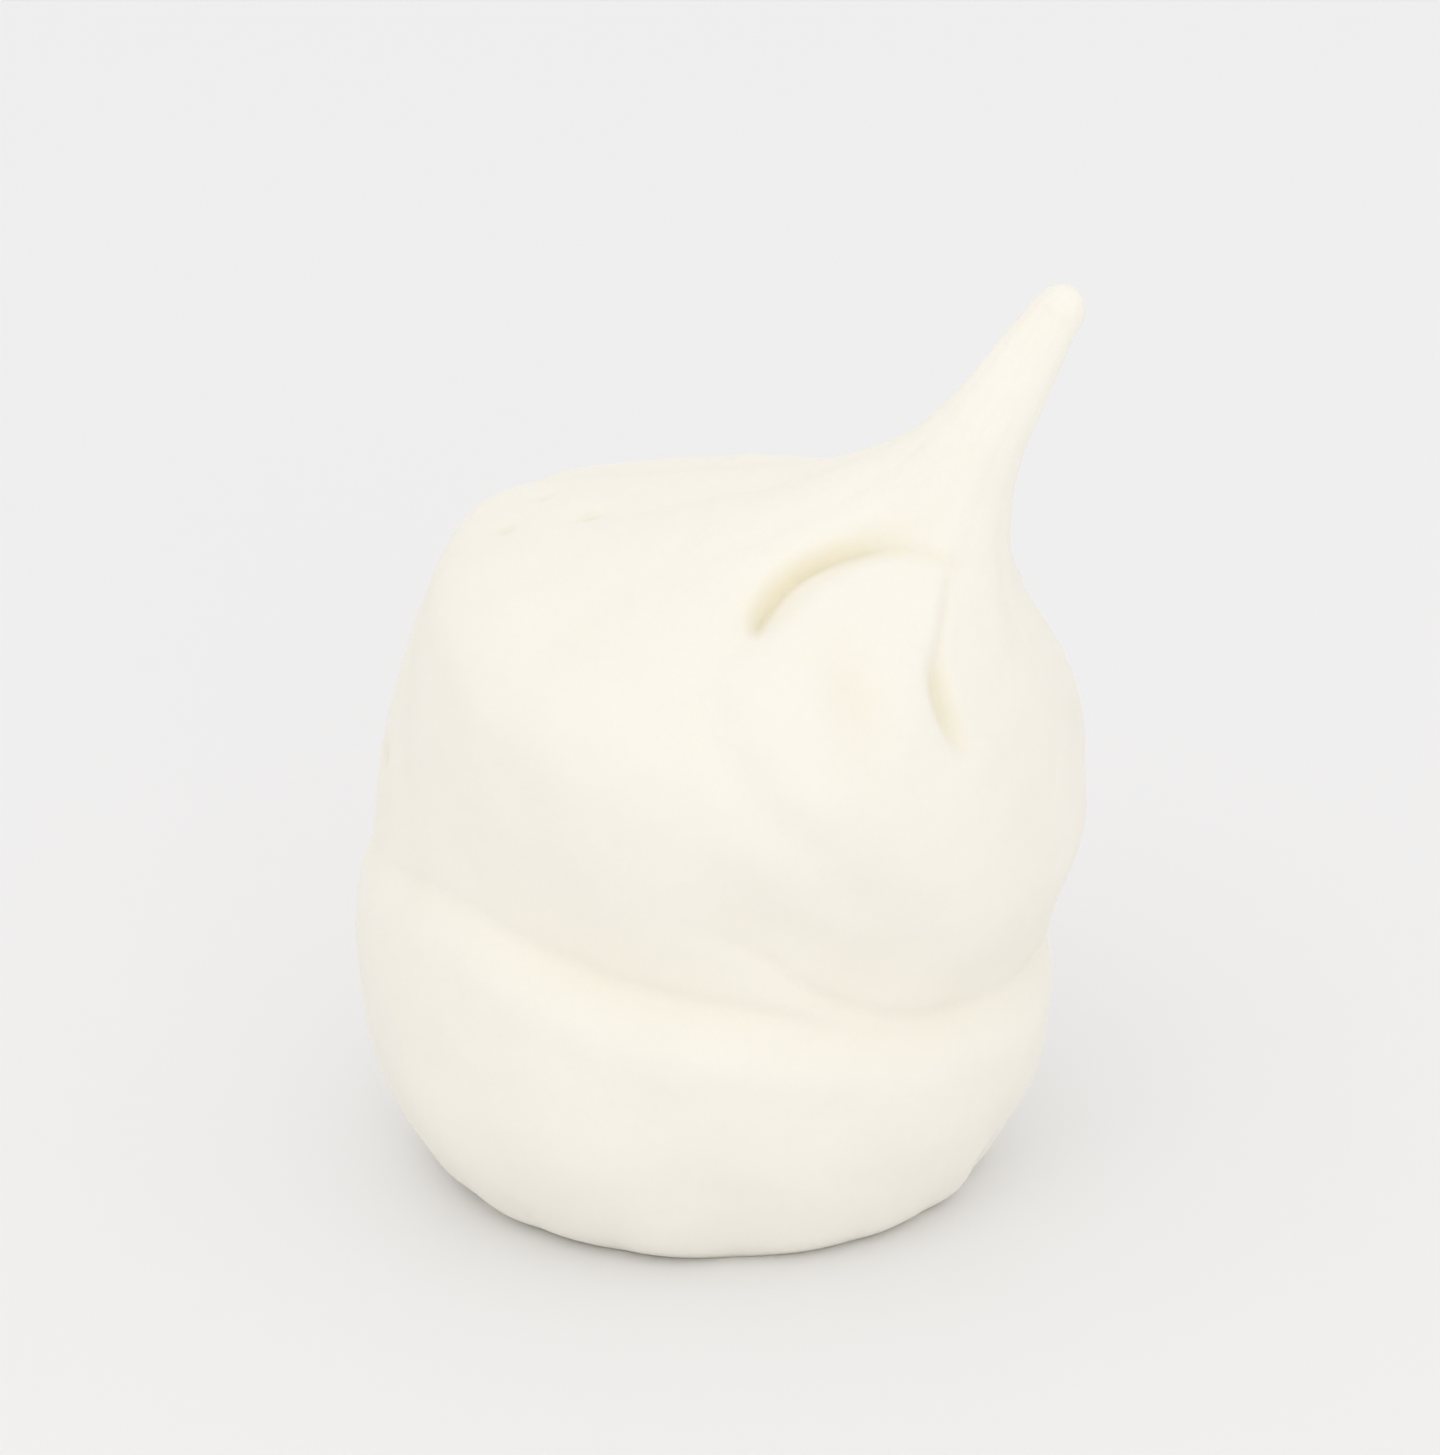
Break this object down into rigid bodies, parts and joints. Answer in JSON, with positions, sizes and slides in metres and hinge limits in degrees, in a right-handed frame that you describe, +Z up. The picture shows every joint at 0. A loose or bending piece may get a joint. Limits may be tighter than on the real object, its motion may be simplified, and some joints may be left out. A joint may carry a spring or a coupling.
{
  "type": "meringue cookie",
  "caption": "Piped meringue kiss with a scalloped flat foot, a plump onion-shaped bulb wrapped by a soft seam, and a drawn-out peak that leans to one side.",
  "frame": {"origin": "middle of the bounding box, on the flat foot that the cookie rests on", "axes": "+Z up from the foot to the peak, +X towards the side that the peak leans to, -Y towards the swirl at the peak's root"},
  "size_m": [0.0418, 0.0416, 0.0553],
  "materials": {
    "meringue_crust": "dry, matt ivory sugar crust"
  },
  "bodies": {
    "root": {"meringue": "meringue_crust"}
  },
  "joints": []
}
